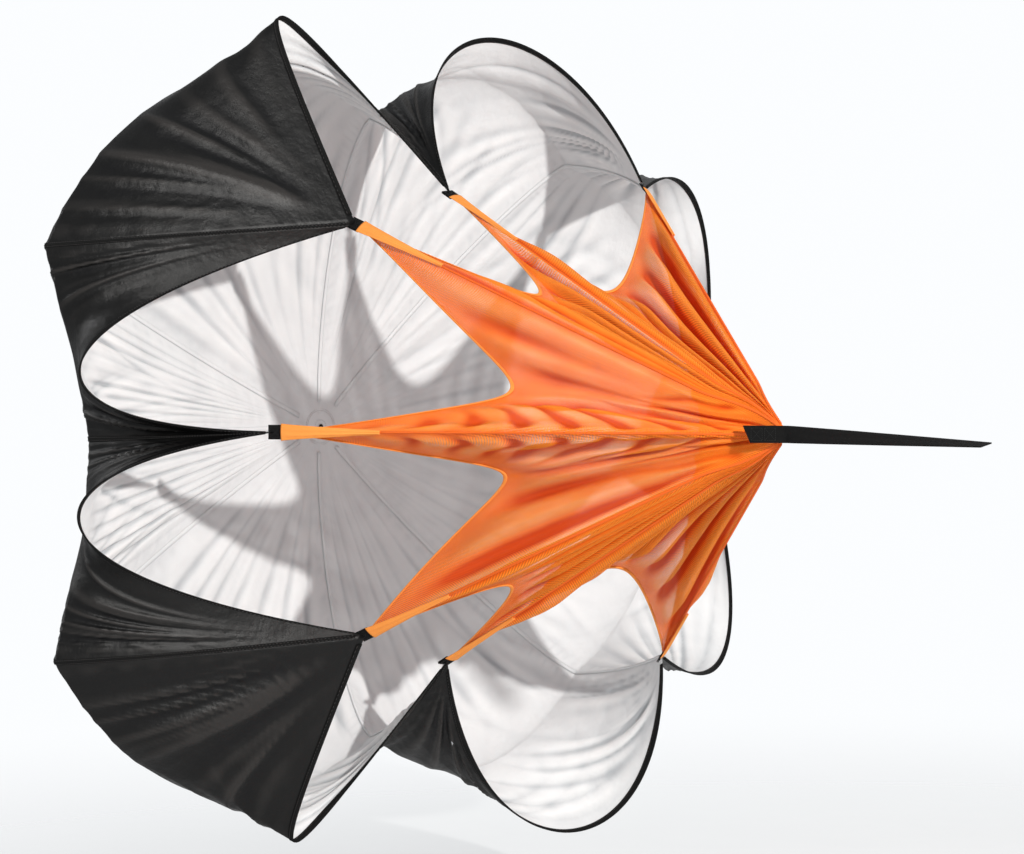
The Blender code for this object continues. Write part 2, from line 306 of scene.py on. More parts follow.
# %% Mesh finishes
def orange_net():
    finish = Finish("orange_net", (0.95, 0.20, 0.02), 0.6)
    across, along = finish.flat_place()
    hole = finish.maths("MULTIPLY", finish.threads(across, 0.002), finish.threads(along, 0.002))
    patchy = finish.maths("MULTIPLY_ADD", finish.cloud(14, 3), 0.3, -0.15)
    # Painted shade: ridges, where the net lies folded double, are painted a deeper orange and valleys a
    # paler one, with random patches added.
    fold_light_and_patches = finish.maths("ADD", finish.fold(), patchy)
    finish.set("Base Color", finish.ramp(
        fold_light_and_patches, (0.2, (1.0, 0.29, 0.03)), (0.5, (0.98, 0.20, 0.014)), (0.85, (0.72, 0.075, 0.004))))
    open_share = finish.maths("MULTIPLY_ADD", finish.fold(), -0.7, 1.0)
    finish.set("Alpha", finish.maths("SUBTRACT", 1.0, finish.maths("MULTIPLY", hole, open_share)))
    finish.bump(finish.maths("SUBTRACT", 1.0, hole), 0.0005, 0.6)
    finish.bump(finish.cloud(60, 4), 0.003, 0.4)
    finish.set("Specular IOR Level", 0.15)
    return finish


def closed_net(name, low, high):
    finish = Finish(name, high, 0.6)
    across, along = finish.flat_place()
    knit = finish.maths("MULTIPLY", finish.threads(across, 0.0016), finish.threads(along, 0.0016))
    finish.set("Base Color", finish.ramp(knit, (0.1, high), (0.8, low)))
    finish.bump(finish.maths("SUBTRACT", 1.0, knit), 0.0004, 0.6)
    finish.bump(finish.cloud(90, 3), 0.002, 0.4)
    finish.set("Specular IOR Level", 0.15)
    return finish


NET = orange_net()
NET_EDGE = closed_net("net_edge", (0.90, 0.24, 0.035), (1.0, 0.40, 0.09))
NET_SEAM = closed_net("net_seam", (0.70, 0.10, 0.012), (0.92, 0.17, 0.022))
print("mesh finishes:", NET.material.name, NET_EDGE.material.name, NET_SEAM.material.name)

# %% [markdown]
# ## Tape, webbing and thread
# Binding tape is ribbed across its length. Tether webbing is thicker and has a chevron weave.
# Thread is a small matt twist: grey on the canopy's tapes, black on the tabs and the webbing, and
# orange on the mesh.

# %% Tape, webbing and thread finishes
def ribbed_tape():
    finish = Finish("ribbed_tape", (0.012, 0.012, 0.013), 0.7)
    across, along = finish.flat_place()
    rib = finish.threads(across, 0.0011)
    finish.set("Base Color", finish.ramp(rib, (0.1, (0.003,) * 3), (0.9, (0.009,) * 3)))
    finish.bump(finish.maths("ADD", rib, finish.threads(along, 0.0007)), 0.0004, 0.6)
    finish.bump(finish.cloud(200, 2), 0.0006, 0.3)
    finish.set("Specular IOR Level", 0.12)
    return finish


def chevron_webbing():
    finish = Finish("chevron_webbing", (0.01, 0.01, 0.011), 0.72)
    across, along = finish.flat_place()
    fold = finish.maths("PINGPONG", finish.maths("ADD", across, 0.1), 0.00625)
    rib = finish.threads(finish.maths("ADD", fold, along), 0.0018)
    finish.set("Base Color", finish.ramp(rib, (0.1, (0.002,) * 3), (0.9, (0.008,) * 3)))
    finish.bump(rib, 0.0006, 0.8)
    finish.bump(finish.cloud(400, 2), 0.0003, 0.3)
    finish.set("Specular IOR Level", 0.12)
    return finish


def sewing_thread(name, colour):
    finish = Finish(name, colour, 0.6)
    twist = finish.cloud(1500, 2)
    finish.set("Base Color", finish.ramp(twist, (0.3, tuple(c * 0.6 for c in colour)), (0.7, colour)))
    finish.bump(twist, 0.0002, 0.5)
    return finish


TAPE = ribbed_tape()
WEBBING = chevron_webbing()
GREY_THREAD = sewing_thread("grey_thread", (0.07, 0.065, 0.065))
ORANGE_THREAD = sewing_thread("orange_thread", (0.92, 0.22, 0.04))
BLACK_THREAD = sewing_thread("black_thread", (0.015, 0.015, 0.016))
print("sewn finishes:", TAPE.material.name, WEBBING.material.name, GREY_THREAD.material.name)

# %% [markdown]
# ## Tools for cloth
# Each sheet starts as a flat grid, as cloth starts as a flat cut. Its corners move onto a smooth
# surface, its UV map keeps the flat cut in metres, and folds then push it along its own normals.
# Solidify turns it into thin closed cloth at the very end, so folds stay cheap to shape.

# %% Helpers for pieces
def add_piece(name, bm, finishes, nodes=(), body="chute"):
    """Finished piece at the origin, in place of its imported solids, riding on a body."""
    mesh = bpy.data.meshes.new(name)
    bm.to_mesh(mesh)
    bm.free()
    for finish in finishes:
        mesh.materials.append(finish.material)
    mesh.shade_smooth()
    piece = bpy.data.objects.new(name, mesh)
    bpy.context.scene.collection.objects.link(piece)
    if nodes:
        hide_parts(*nodes)
    if body:
        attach(piece, body)
    return piece


def thicken(piece, thickness, lining=0):
    """Closed cloth of this thickness; lining moves its inner face on to the next finish."""
    solid = piece.modifiers.new("thickness", "SOLIDIFY")
    solid.thickness = thickness
    solid.offset = 0
    solid.material_offset = lining


SPREAD = 4                        # grid steps to the surroundings a fold is compared with
RELIEF = 0.008                    # height of a fold that counts as a full ridge, in metres


class Cloth:
    """A flat cut laid on a surface: its bmesh, the share of each corner, and its flat size."""

    def __init__(self, surface, columns, rows):
        shares = [(c / columns, r / rows) for r in range(rows + 1) for c in range(columns + 1)]
        places = [surface(across, along) for across, along in shares]
        wide = columns + 1
        self.widths = [
            sum((places[r * wide + c + 1] - places[r * wide + c]).length for c in range(columns))
            for r in range(rows + 1)]
        middle = columns // 2
        heights = [0]
        for r in range(rows):
            step = places[(r + 1) * wide + middle] - places[r * wide + middle]
            heights.append(heights[-1] + step.length)
        self.bm = bmesh.new()
        layer = self.bm.loops.layers.uv.new("cloth")
        fold = self.bm.verts.layers.float.new("fold")
        self.grid = (columns, rows)
        bmesh.ops.create_grid(self.bm, x_segments=columns, y_segments=rows, size=0.5)
        self.share = {}
        self.flat = {}
        for corner in self.bm.verts:
            across, along = corner.co.x + 0.5, corner.co.y + 0.5
            row = round(along * rows)
            self.share[corner] = (across, along)
            self.flat[corner] = ((across - 0.5) * self.widths[row], heights[row])
            corner.co = places[row * wide + round(across * columns)]
            corner[fold] = 0.5
        for face in self.bm.faces:
            for loop in face.loops:
                loop[layer].uv = self.flat[loop.vert]
        self.bm.normal_update()

    def push(self, depth):
        """Moves each corner along its normal by depth(across, along, flat place)."""
        columns, rows = self.grid
        lift = {}
        for corner, (across, along) in self.share.items():
            push = depth(across, along, self.flat[corner])
            lift[round(across * columns), round(along * rows)] = push
            corner.co += corner.normal * push
        layer = self.bm.verts.layers.float["fold"]
        for corner, (across, along) in self.share.items():
            c, r = round(across * columns), round(along * rows)
            around = [(max(c - SPREAD, 0), r), (min(c + SPREAD, columns), r),
                      (c, max(r - SPREAD, 0)), (c, min(r + SPREAD, rows))]
            over = lift[c, r] - sum(lift[place] for place in around) / 4
            corner[layer] = min(max(0.5 + over / RELIEF, 0), 1)
        self.bm.normal_update()

    def cut(self):
        """Width, length and area, measured on the folded cloth; width is square to its columns."""
        columns, rows = self.grid
        place = {(round(across * columns), round(along * rows)): corner.co
                 for corner, (across, along) in self.share.items()}
        width = 0.0
        for r in range(rows):
            run = 0.0
            for c in range(columns):
                along = (place[c, r + 1] - place[c, r]).normalized()
                run += (place[c + 1, r] - place[c, r]).cross(along).length
            width = max(width, run)
        length = max(sum((place[c, r + 1] - place[c, r]).length for r in range(rows))
                     for c in range(columns + 1))
        return width, length, sum(face.calc_area() for face in self.bm.faces)


# %% [markdown]
# ### Folded tape and stitches
# A cloth edge is bound by tape folded over it, and a line of lock-stitches holds the fold. The
# tape is a narrow cloth with five rows: down one face, round the edge and back up the other.
# Each stitch is a squeezed ball with few faces, because there are thousands of them.

# %% Helpers for tape and stitches
TAPE_THICKNESS = 0.0007
FOLD_CLEARANCE = 0.0009


def folded_tape(name, edge, inward, outward, width, stations, finish, nodes):
    """Tape folded over an edge: edge, inward and outward are curves of one share from 0 to 1."""
    offsets = ((1, width), (1, 0.0004), (0, -0.0008), (-1, 0.0004), (-1, width))

    def surface(across, along):
        side, depth = offsets[round(along * 4)]
        return edge(across) + outward(across) * (side * FOLD_CLEARANCE) + inward(across) * depth

    cloth = Cloth(surface, stations, 4)
    piece = add_piece(name, cloth.bm, [finish], nodes)
    thicken(piece, TAPE_THICKNESS)
    return piece


def flat_tape(name, middle, sideways, outward, width, rise, stations, finish, nodes=()):
    """Tape lying on cloth along a line, raised a little off it and lowest at its two sides."""
    def surface(across, along):
        away = 2 * along - 1
        lift = rise * (1 - 0.5 * away * away)
        return (middle(across) + sideways(across, away) * (abs(away) * width / 2)
                + outward(across) * lift)

    cloth = Cloth(surface, stations, 4)
    piece = add_piece(name, cloth.bm, [finish], nodes)
    thicken(piece, TAPE_THICKNESS)
    return piece


def stitches(name, rows, pitch, finish, girth=0.0006):
    """Lock-stitches along rows; a row is (curve, outward curve, length in metres)."""
    bm = bmesh.new()
    for curve, outward, length in rows:
        number = max(2, round(length / pitch))
        for step in range(number):
            here = curve((step + 0.15) / number)
            there = curve((step + 0.85) / number)
            run = there - here
            up = outward((step + 0.5) / number)
            turned = run.to_track_quat("X", "Z").to_matrix().to_4x4()
            place = Matrix.Translation((here + there) / 2 + up * girth * 0.3) @ turned
            shape = Matrix.Diagonal((run.length / 2, girth / 2, girth / 2, 1))
            bmesh.ops.create_icosphere(bm, subdivisions=1, radius=1, matrix=place @ shape)
    return add_piece(name, bm, [finish])


def curve_length(curve, steps=40):
    places = [curve(step / steps) for step in range(steps + 1)]
    return sum((b - a).length for a, b in zip(places, places[1:]))


# %% [markdown]
# ## The shape of the canopy
# A gore runs from an open curved edge, over the widest ring, to the crown. Its two seams meet
# the pull points, and between them it swells as far as the wind blows it.

# %% Canopy surfaces
def hem_point(index, across):
    """Open edge of a lobe: a Bezier arch from one pull point, through its tip, to the next."""
    start, end = pull_point(index), pull_point(index + 1)
    angle, radius, roundness, _ = LOBES[index]
    middle = (at(HEM_TIP_X, radius, angle) * 8 - start - end) / 6
    handle_a = middle - (end - start) * roundness
    handle_b = middle + (end - start) * roundness
    back = 1 - across
    return (start * back ** 3 + handle_a * (3 * across * back ** 2)
            + handle_b * (3 * across ** 2 * back) + end * across ** 3)


def shoulder(index, across):
    """Radius and angle of the widest ring across a gore, which swells between its seams."""
    first, second = PULL_POINTS[index][3], PULL_POINTS[(index + 1) % COUNT][3]
    if second > first:
        second -= 360
    seam_a, seam_b = PULL_POINTS[index][2], PULL_POINTS[(index + 1) % COUNT][2]
    swell = LOBES[index][3] - (seam_a + seam_b) / 2
    fullness = 1 - abs(2 * across - 1) ** SWELL_ROUNDNESS
    return mix(seam_a, seam_b, across) + swell * fullness, mix(first, second, across)


CROWN_HOLE = 0.02


def gore_point(index, across, along):
    """Point on a gore: across from seam to seam, and along from the open edge to the crown."""
    radius, angle = shoulder(index, across)
    if along < FRONT_SHARE:
        share = along / FRONT_SHARE
        hem = hem_point(index, across)
        ring = at(SHOULDER_X, radius, angle)
        corner = at(0, radius, angle)
        corner.x = mix(hem.x, ring.x, 0.45)
        bend = hem.lerp(corner, 0.75)
        bend.x = corner.x
        return hem * (1 - share) ** 2 + bend * (2 * share * (1 - share)) + ring * share ** 2
    inner = CROWN_HOLE / (radius * PULL_RADIUS)
    turn = (along - FRONT_SHARE) / (1 - FRONT_SHARE) * acos(inner ** (1 / CROWN_FLATNESS))
    back = SHOULDER_X + (CROWN_X - SHOULDER_X) * sin(turn) ** CROWN_FLATNESS
    return at(back, radius * cos(turn) ** CROWN_FLATNESS, angle)


def gore_outward(index, across, along):
    """Unit vector out of the canopy at a point of a gore."""
    low, high = max(across - 0.02, 0), min(across + 0.02, 1)
    near, far = max(along - 0.01, 0), min(along + 0.01, 1)
    over = gore_point(index, high, along) - gore_point(index, low, along)
    on = gore_point(index, across, far) - gore_point(index, across, near)
    return over.cross(on).normalized()


print("first lobe's open edge:", round(curve_length(lambda w: hem_point(0, w)), 3), "m")

# %% [markdown]
# ## The folds of the canopy
# Wind never fills a small chute evenly. Creases fan out from each pull point, where all the pull
# gathers; pleats run from the open edge back to the crown; the seams pucker; and the cloth
# keeps a crumple from its bag. Each kind is a few lines of noise, and they are added together.

# %% Canopy folds
def smooth(low, high, value):
    share = min(max((value - low) / (high - low), 0), 1)
    return share * share * (3 - 2 * share)


def ridge(value):
    """Noise folded into sharp creases, from 0 in the flats to 1 on a crease."""
    return (1 - min(abs(value) * 1.8, 1)) ** 2


def creased(x, y, seed):
    return noise.noise(Vector((x, y, seed * 7.3)))


FAN_DEPTH = 0.012
SAG_DEPTH = 0.009
CRUMPLE_DEPTH = 0.0012
PUCKER_DEPTH = 0.0010
PUCKER_PITCH = 0.016
FAN_WIDTH = 0.6
SHOULDER_SHARE = 0.46             # where a gore turns over its shoulder and is pulled tightest
# Crown pleats of each gore: how many, and how deep as a share of their own pitch.
CROWN_PLEATS = [(11, 0.24), (8, 0.08), (7, 0.08), (7, 0.07), (7, 0.07), (7, 0.08), (8, 0.08),
                (11, 0.24)]


def fans(index, across, v):
    """Creases that fan out from the two pull points of a gore."""
    total = 0.0
    for share, seed in ((across, 1), (1 - across, 2)):
        dx = share * FAN_WIDTH
        away = (dx * dx + v * v) ** 0.5
        angle = atan2(v, dx)
        broad = creased(angle * 4, away * 1.2, index * 2 + seed)
        sharp = ridge(creased(angle * 6, away * 1.2, index * 2 + seed + 40))
        total += FAN_DEPTH * exp(-away / 0.22) * min(away / 0.04, 1) * (broad + 1.2 * sharp - 0.4)
    return total


def crown_pleats(index, across, along, width):
    """Narrow pleats that run from the open edge back to the crown, and the sag between them."""
    number, steepness = CROWN_PLEATS[index]
    wander = 0.9 * creased(across * 3, along * 1.5, index + 100)
    wave = (0.5 + 0.5 * sin(2 * pi * (across * number + wander))) ** 3
    size = 0.8 + 0.9 * creased(across * number * 0.45, along * 1.6, index + 130)
    sag = creased(across * 5, along * 1.2, index + 160) - 0.25
    deep = steepness * width / number * wave * size + SAG_DEPTH * sag
    return deep * smooth(SHOULDER_SHARE, 0.62, along) * smooth(1.0, 0.8, along)


def gore_folds(index, cloth):
    """Depth of the folds over one gore, as a function for Cloth.push."""
    rows = len(cloth.widths) - 1

    def depth(across, along, flat):
        u, v = flat
        width = cloth.widths[round(along * rows)]
        crumple = creased(u * 15, v * 10, index + 190) + 0.5 * creased(u * 36, v * 28, index + 220)
        taut = 1 - 0.85 * exp(-((along - SHOULDER_SHARE) / 0.10) ** 2)
        total = (fans(index, across, v) + crown_pleats(index, across, along, width)
                 + CRUMPLE_DEPTH * (crumple - 0.2))
        gap = min(across, 1 - across) * width
        inside = smooth(0.004, 0.040, gap) * smooth(0.012, 0.060, v)
        pucker = sin(2 * pi * v / PUCKER_PITCH + 3 * creased(v * 20, 1, index + 250))
        near_seam = exp(-gap / 0.016) * smooth(0.006, 0.014, gap) * smooth(0.012, 0.040, v)
        return total * taut * inside + PUCKER_DEPTH * pucker * near_seam * smooth(1, 0.9, along)

    return depth


GORE_COLUMNS = 128
GORE_ROWS = 140
CANOPY_THICKNESS = 0.0005

gores, gore_cuts = [], []
for index in range(COUNT):
    gore = Cloth(lambda across, along: gore_point(index, across, along), GORE_COLUMNS, GORE_ROWS)
    gore.push(gore_folds(index, gore))
    gore_cuts.append(gore.cut())
    piece = add_piece(f"gore_{index + 1}", gore.bm, [BLACK_NYLON, SILVER],
                      [f"canopy_gore_{index + 1}"])
    thicken(piece, CANOPY_THICKNESS, lining=1)
    gores.append(piece)
print(len(gores), "gores")

# %% [markdown]
# ## Hems, seams and crown
# Black tape binds every open edge, and its fold shows as a thin dark line from both sides. The
# gores meet in flat-felled seams with a tape outside and a narrow silver fell inside. At the
# crown all eight meet under a round patch with a knot of thread in its middle.

# %% Hems
HEM_TAPE_WIDTH = 0.009
HEM_STATIONS = 110
HEM_ENDS = (0.012, 0.988)         # shares of the open edge between which it is bound
HEM_PITCH = 0.0042


def hem_inward(index):
    return lambda w: (gore_point(index, w, 0.02) - hem_point(index, w)).normalized()


def hem_outward(index):
    return lambda w: gore_outward(index, min(max(w, 0.01), 0.99), 0.005)


for index in range(COUNT):
    edge = lambda w: hem_point(index, mix(*HEM_ENDS, w))
    folded_tape(
        f"hem_{index + 1}", edge, hem_inward(index), hem_outward(index), HEM_TAPE_WIDTH,
        HEM_STATIONS, TAPE, [f"hem_tape_{index + 1}"])
    rows = []
    for side in (1, -1):
        def line(w, side=side):
            lift = hem_outward(index)(w) * side * (FOLD_CLEARANCE + TAPE_THICKNESS / 2)
            return edge(w) + hem_inward(index)(w) * (HEM_TAPE_WIDTH * 0.78) + lift
        rows.append((line, lambda w, side=side: hem_outward(index)(w) * side, curve_length(line)))
    stitches(f"hem_stitches_{index + 1}", rows, HEM_PITCH, GREY_THREAD)

# %% Seams
SEAM_TAPE_WIDTH = 0.008
SEAM_STATIONS = 90
SEAM_ENDS = (0.01, 0.97)          # shares of the seam between which it is taped
SEAM_RISE, FELL_RISE = 0.0013, -0.0022
SEAM_PITCH = 0.005


def seam_sideways(index):
    """Direction from a seam on to the gore at either side of it."""
    def sideways(w, away):
        along = mix(*SEAM_ENDS, w)
        gore, across = (index, 0.03) if away >= 0 else ((index - 1) % COUNT, 0.97)
        return (gore_point(gore, across, along) - gore_point(index, 0, along)).normalized()
    return sideways


def seam_outward(index):
    def outward(w):
        along = mix(*SEAM_ENDS, w)
        here = gore_outward(index, 0.01, along) + gore_outward((index - 1) % COUNT, 0.99, along)
        return here.normalized()
    return outward


seams = []
for index in range(COUNT):
    middle = lambda w: gore_point(index, 0, mix(*SEAM_ENDS, w))
    sideways, outward = seam_sideways(index), seam_outward(index)
    seams.append([
        flat_tape(f"seam_{index + 1}", middle, sideways, outward, SEAM_TAPE_WIDTH, SEAM_RISE,
                  SEAM_STATIONS, TAPE, [f"seam_tape_{index + 1}"]),
        flat_tape(f"fell_{index + 1}", middle, sideways, outward, SEAM_TAPE_WIDTH, FELL_RISE,
                  SEAM_STATIONS, SILVER)])
    rows = []
    for away in (-0.7, 0.7):
        def line(w, away=away):
            return (middle(w) + sideways(w, away) * (SEAM_TAPE_WIDTH * 0.35)
                    + outward(w) * 0.0016)
        rows.append((line, outward, curve_length(line)))
    seams[-1].append(stitches(f"seam_stitches_{index + 1}", rows, SEAM_PITCH, GREY_THREAD))
print(len(seams), "seams")

# %% [markdown]
# A tab of folded webbing joins each pull point to its mesh arm. It is one short length laid
# double, so its surface runs out, round the fold and back, and a boxed cross of stitches holds it.

# %% Pull tabs
TAB_LENGTH, TAB_WIDTH, TAB_HALF = 0.022, 0.022, 0.001


def tab_place(index):
    """Placement of a tab: X towards the apex and Z outwards."""
    here = pull_point(index)
    x = (APEX - here).normalized()
    outward = Vector((0, here.y, here.z - AXIS_HEIGHT))
    y = outward.cross(x).normalized()
    return Matrix.Translation(here) @ Matrix((x, y, x.cross(y))).transposed().to_4x4()


def doubled_tape(across, along):
    """Tape laid double: down the lower layer, round the fold and back along the upper one."""
    side = (across - 0.5) * TAB_WIDTH
    if along < 0.45:
        return Vector((mix(-0.5, 0.5, along / 0.45) * TAB_LENGTH, side, -TAB_HALF))
    if along > 0.55:
        return Vector((mix(0.5, -0.5, (along - 0.55) / 0.45) * TAB_LENGTH, side, TAB_HALF))
    turn = (along - 0.5) / 0.1 * pi
    return Vector((TAB_LENGTH / 2 + TAB_HALF * cos(turn), side, TAB_HALF * sin(turn)))


def boxed_cross(place, length, width, lift):
    """Rows of stitches: four sides of a box and its two diagonals, on both faces."""
    a, b = length / 2, width / 2
    corners = [(-a, -b), (a, -b), (a, b), (-a, b)]
    lines = list(zip(corners, corners[1:] + corners[:1]))
    lines += [(corners[0], corners[2]), (corners[1], corners[3])]
    rows = []
    for face in (1, -1):
        up = (place.to_3x3() @ Vector((0, 0, face))).normalized()
        for (x0, y0), (x1, y1) in lines:
            start = place @ Vector((x0, y0, face * lift))
            end = place @ Vector((x1, y1, face * lift))
            rows.append((lambda w, start=start, end=end: start.lerp(end, w),
                         lambda w, up=up: up, (end - start).length))
    return rows


for index in range(COUNT):
    place = tab_place(index)
    tab = Cloth(lambda across, along: place @ doubled_tape(across, along), 8, 40)
    piece = add_piece(f"tab_{index + 1}", tab.bm, [TAPE], [f"pull_tab_{index + 1}"])
    thicken(piece, 0.0013)
    rows = boxed_cross(place, TAB_LENGTH * 0.7, TAB_WIDTH * 0.7, TAB_HALF + 0.0007)
    thread = stitches(f"tab_stitches_{index + 1}", rows, 0.0025, BLACK_THREAD)

# %% Crown patch
CROWN = at(CROWN_X, 0, 0)
CROWN_RINGS = (0.031, 0.028, 0.012)      # radii of the rings of stitches
KNOT_RADIUS, KNOT_TURNS = 0.006, 5


def ring_point(radius, share, x):
    turn = 2 * pi * share
    return CROWN + Vector((x, radius * cos(turn), radius * sin(turn)))


def crown_disc(name, side, finish, nodes=()):
    """Round patch, domed a little, with its pole and its joint closed."""
    disc = Cloth(lambda across, along: ring_point(
        CROWN_PATCH_RADIUS * (1 - along), across, side * (0.0012 + 0.001 * along)), 48, 8)
    bmesh.ops.remove_doubles(disc.bm, verts=disc.bm.verts[:], dist=1e-6)
    piece = add_piece(name, disc.bm, [finish], nodes)
    thicken(piece, 0.0008)
    return piece


crown_disc("crown_outside", -1, BLACK_NYLON, ["crown_patch"])
crown_disc("crown_inside", 1, SILVER)
rings = []
for side in (-1, 1):
    for radius in CROWN_RINGS:
        rings.append((lambda w, side=side, radius=radius: ring_point(radius, w, side * 0.0022),
                      lambda w, side=side: Vector((side, 0, 0)), 2 * pi * radius))
stitches("crown_stitches", rings, 0.004, GREY_THREAD)
knot = [(lambda w, turn=turn: ring_point(KNOT_RADIUS * (2 * w - 1), turn / KNOT_TURNS, 0.0032),
         lambda w: Vector((1, 0, 0)), 2 * KNOT_RADIUS) for turn in range(KNOT_TURNS)]
stitches("crown_knot", knot, 0.006, TAPE, girth=0.0024)
print("crown at", tuple(round(c, 3) for c in CROWN))

# %% [markdown]
# ## The mesh shroud
# Eight panels of orange net join the pull points to the tether. Each has a scalloped edge, so
# two neighbours make one arm, and all run together at the apex. The net hangs in pleats that
# point at the apex, deepest on the slack panels at the far side.

# %% Shroud surfaces
GATHER_RADIUS = 0.010
PANEL_END = 1 - GATHER_RADIUS / PULL_RADIUS


def scallop(index, across):
    """Height of a panel's scalloped edge, 0 at both arms and 1 at its deepest."""
    share = across ** PANELS[index][2]
    return (4 * share * (1 - share)) ** SCALLOP_SHARPNESS if 0 < share < 1 else 0


def flattened(point, share):
    """The arms are sewn in a flat upright stack, so the cone of net narrows and grows taller."""
    up = point.z - AXIS_HEIGHT
    return Vector((point.x, point.y * (1 - 0.62 * share), AXIS_HEIGHT + up * (1 + 0.35 * share)))


def panel_point(index, across, along):
    """Point on a panel: across from arm to arm, and along from its edge to the apex."""
    depth, drawn_in, _ = PANELS[index]
    reach = mix(depth * scallop(index, across), PANEL_END, along)
    point = pull_point(index).lerp(pull_point(index + 1), across).lerp(APEX, reach)
    spoke = Vector((0, point.y, point.z - AXIS_HEIGHT))
    bow = 4 * across * (1 - across) * drawn_in * (1 - along)
    point = point - spoke.normalized() * min(bow * PULL_RADIUS, spoke.length * 0.5)
    return flattened(point, smooth(0.8, PANEL_END, reach))


def arm_point(index, share):
    return flattened(pull_point(index).lerp(APEX, share), smooth(0.8, PANEL_END, share))


# Pleats of each panel that follow its rays: depth as a share of its width, and their number.
PLEATS = [(0.020, 4), (0.035, 6), (0.042, 7), (0.042, 7), (0.042, 7), (0.042, 7), (0.035, 6),
          (0.020, 4)]
# Pleats that slant away from the nearest arm, where the gathering thread draws them in.
SLANT_DEPTH, SLANT_PITCH, SLANT = 0.0065, 0.048, 1.1
GATHER_DEPTH, GATHER_PITCH = 0.0030, 0.017


def gathered_folds(off, v, index):
    """Slanted pleats and small close gathers beside an arm: off is metres away from it."""
    wander = 0.25 * creased(off * 12, v * 8, index + 390)
    sharp = (0.5 + 0.5 * sin(2 * pi * ((v + SLANT * off) / SLANT_PITCH + wander))) ** 2.5
    slanted = SLANT_DEPTH * sharp * smooth(0.004, 0.03, off) * smooth(0.26, 0.10, off)
    hatch = sin(2 * pi * (v - 0.8 * off) / GATHER_PITCH) * exp(-off / 0.016)
    return slanted, GATHER_DEPTH * hatch * smooth(0.001, 0.004, off)


def panel_folds(index, cloth):
    """Depth of the pleats over one panel."""
    depth, number = PLEATS[index]
    rows = len(cloth.widths) - 1

    def fold(across, along, flat):
        width = cloth.widths[round(along * rows)]
        wander = 0.5 * creased(across * 2, along * 1.2, index + 300)
        ray = (0.5 + 0.5 * sin(2 * pi * (across * number + wander))) ** 1.7
        size = 0.7 + creased(across * number * 0.6, along * 0.7, index + 330)
        broad = creased(across * 4, along * 2.5, index + 360)
        total = depth * width * (2.2 * ray * size - 0.7 + 0.7 * broad) * smooth(0.02, 0.25, along)
        gap = min(across, 1 - across) * width
        near = 0.0
        if index in (0, COUNT - 1):
            from_arm = across if index == 0 else 1 - across
            slanted, near = gathered_folds(from_arm * width, flat[1], index)
            total += slanted * smooth(0.02, 0.2, along) * smooth(1.0, 0.85, along)
            near *= smooth(0.2, 0.5, along) * smooth(1.0, 0.93, along)
        return total * smooth(0.002, 0.022, gap) + near

    return fold


PANEL_COLUMNS = 84
PANEL_ROWS = 120
NET_THICKNESS = 0.0004

panels, panel_cuts = [], []
for index in range(COUNT):
    panel = Cloth(lambda across, along: panel_point(index, across, along), PANEL_COLUMNS,
                  PANEL_ROWS)
    panel.push(panel_folds(index, panel))
    panel_cuts.append(panel.cut())
    piece = add_piece(f"panel_{index + 1}", panel.bm, [NET],
                      [f"mesh_panel_{index + 1}"])
    thicken(piece, NET_THICKNESS)
    panels.append(piece)
print(len(panels), "panels")

# %% Bindings and arm seams
BINDING_WIDTH = 0.006
BINDING_ENDS = (0.008, 0.992)     # shares of the scallop between which it is bound
ARM_ENDS = (0.02, 0.972)          # shares of the arm between which its seam is covered
BINDING_STATIONS, ARM_STATIONS = 100, 110
NET_PITCH = 0.004


def panel_outward(index, across, along):
    low, high = max(across - 0.02, 0.001), min(across + 0.02, 0.999)
    over = panel_point(index, high, along) - panel_point(index, low, along)
    on = panel_point(index, across, along + 0.02) - panel_point(index, across, along)
    return on.cross(over).normalized()


for index in range(COUNT):
    edge = lambda w: panel_point(index, mix(*BINDING_ENDS, w), 0)
    inward = lambda w: (panel_point(index, mix(*BINDING_ENDS, w), 0.03) - edge(w)).normalized()
    outward = lambda w: panel_outward(index, mix(*BINDING_ENDS, w), 0)
    binding = folded_tape(
        f"binding_{index + 1}", edge, inward, outward, BINDING_WIDTH, BINDING_STATIONS, NET_EDGE,
        [f"mesh_binding_{index + 1}"])
    rows = []
    for side in (1, -1):
        def line(w, side=side):
            return edge(w) + inward(w) * BINDING_WIDTH * 0.7 + outward(w) * side * 0.0013
        rows.append((line, lambda w, side=side: outward(w) * side, curve_length(line)))
    thread = stitches(f"binding_stitches_{index + 1}", rows, NET_PITCH, ORANGE_THREAD,
                      girth=0.0005)

    arm = lambda w: arm_point(index, mix(*ARM_ENDS, w))

    def arm_sideways(w, away):
        gore, across = (index, 0.04) if away >= 0 else ((index - 1) % COUNT, 0.96)
        share = mix(*ARM_ENDS, w)
        start = PANELS[gore][0] * scallop(gore, across)
        along = max(share - start, 0) / (PANEL_END - start)
        step = panel_point(gore, across, along) - arm(w)
        run = (APEX - pull_point(index)).normalized()
        return (step - run * step.dot(run)).normalized()

    def arm_outward(w):
        spoke = arm(w) - Vector((arm(w).x, 0, AXIS_HEIGHT))
        run = (APEX - pull_point(index)).normalized()
        return (spoke - run * spoke.dot(run)).normalized()

    seam = flat_tape(f"arm_seam_{index + 1}", arm, arm_sideways, arm_outward, 0.005, 0.0010,
                     ARM_STATIONS, NET_SEAM)
    rows = [(lambda w: arm(w) + arm_outward(w) * 0.0014, arm_outward, curve_length(arm))]
    arm_thread = stitches(f"arm_stitches_{index + 1}", rows, NET_PITCH, ORANGE_THREAD,
                          girth=0.0004)

# %% [markdown]
# Each arm starts a little wider than its tab. There the net is folded into a flat band, which
# narrows as the two panels beside it take over.

# %% Roots of the arms
ROOT_WIDTH, ROOT_START, ROOT_REACH = 0.026, 0.012, 0.20
ROOT_THICKNESS, ROOT_RIPPLE = 0.0007, 0.0008


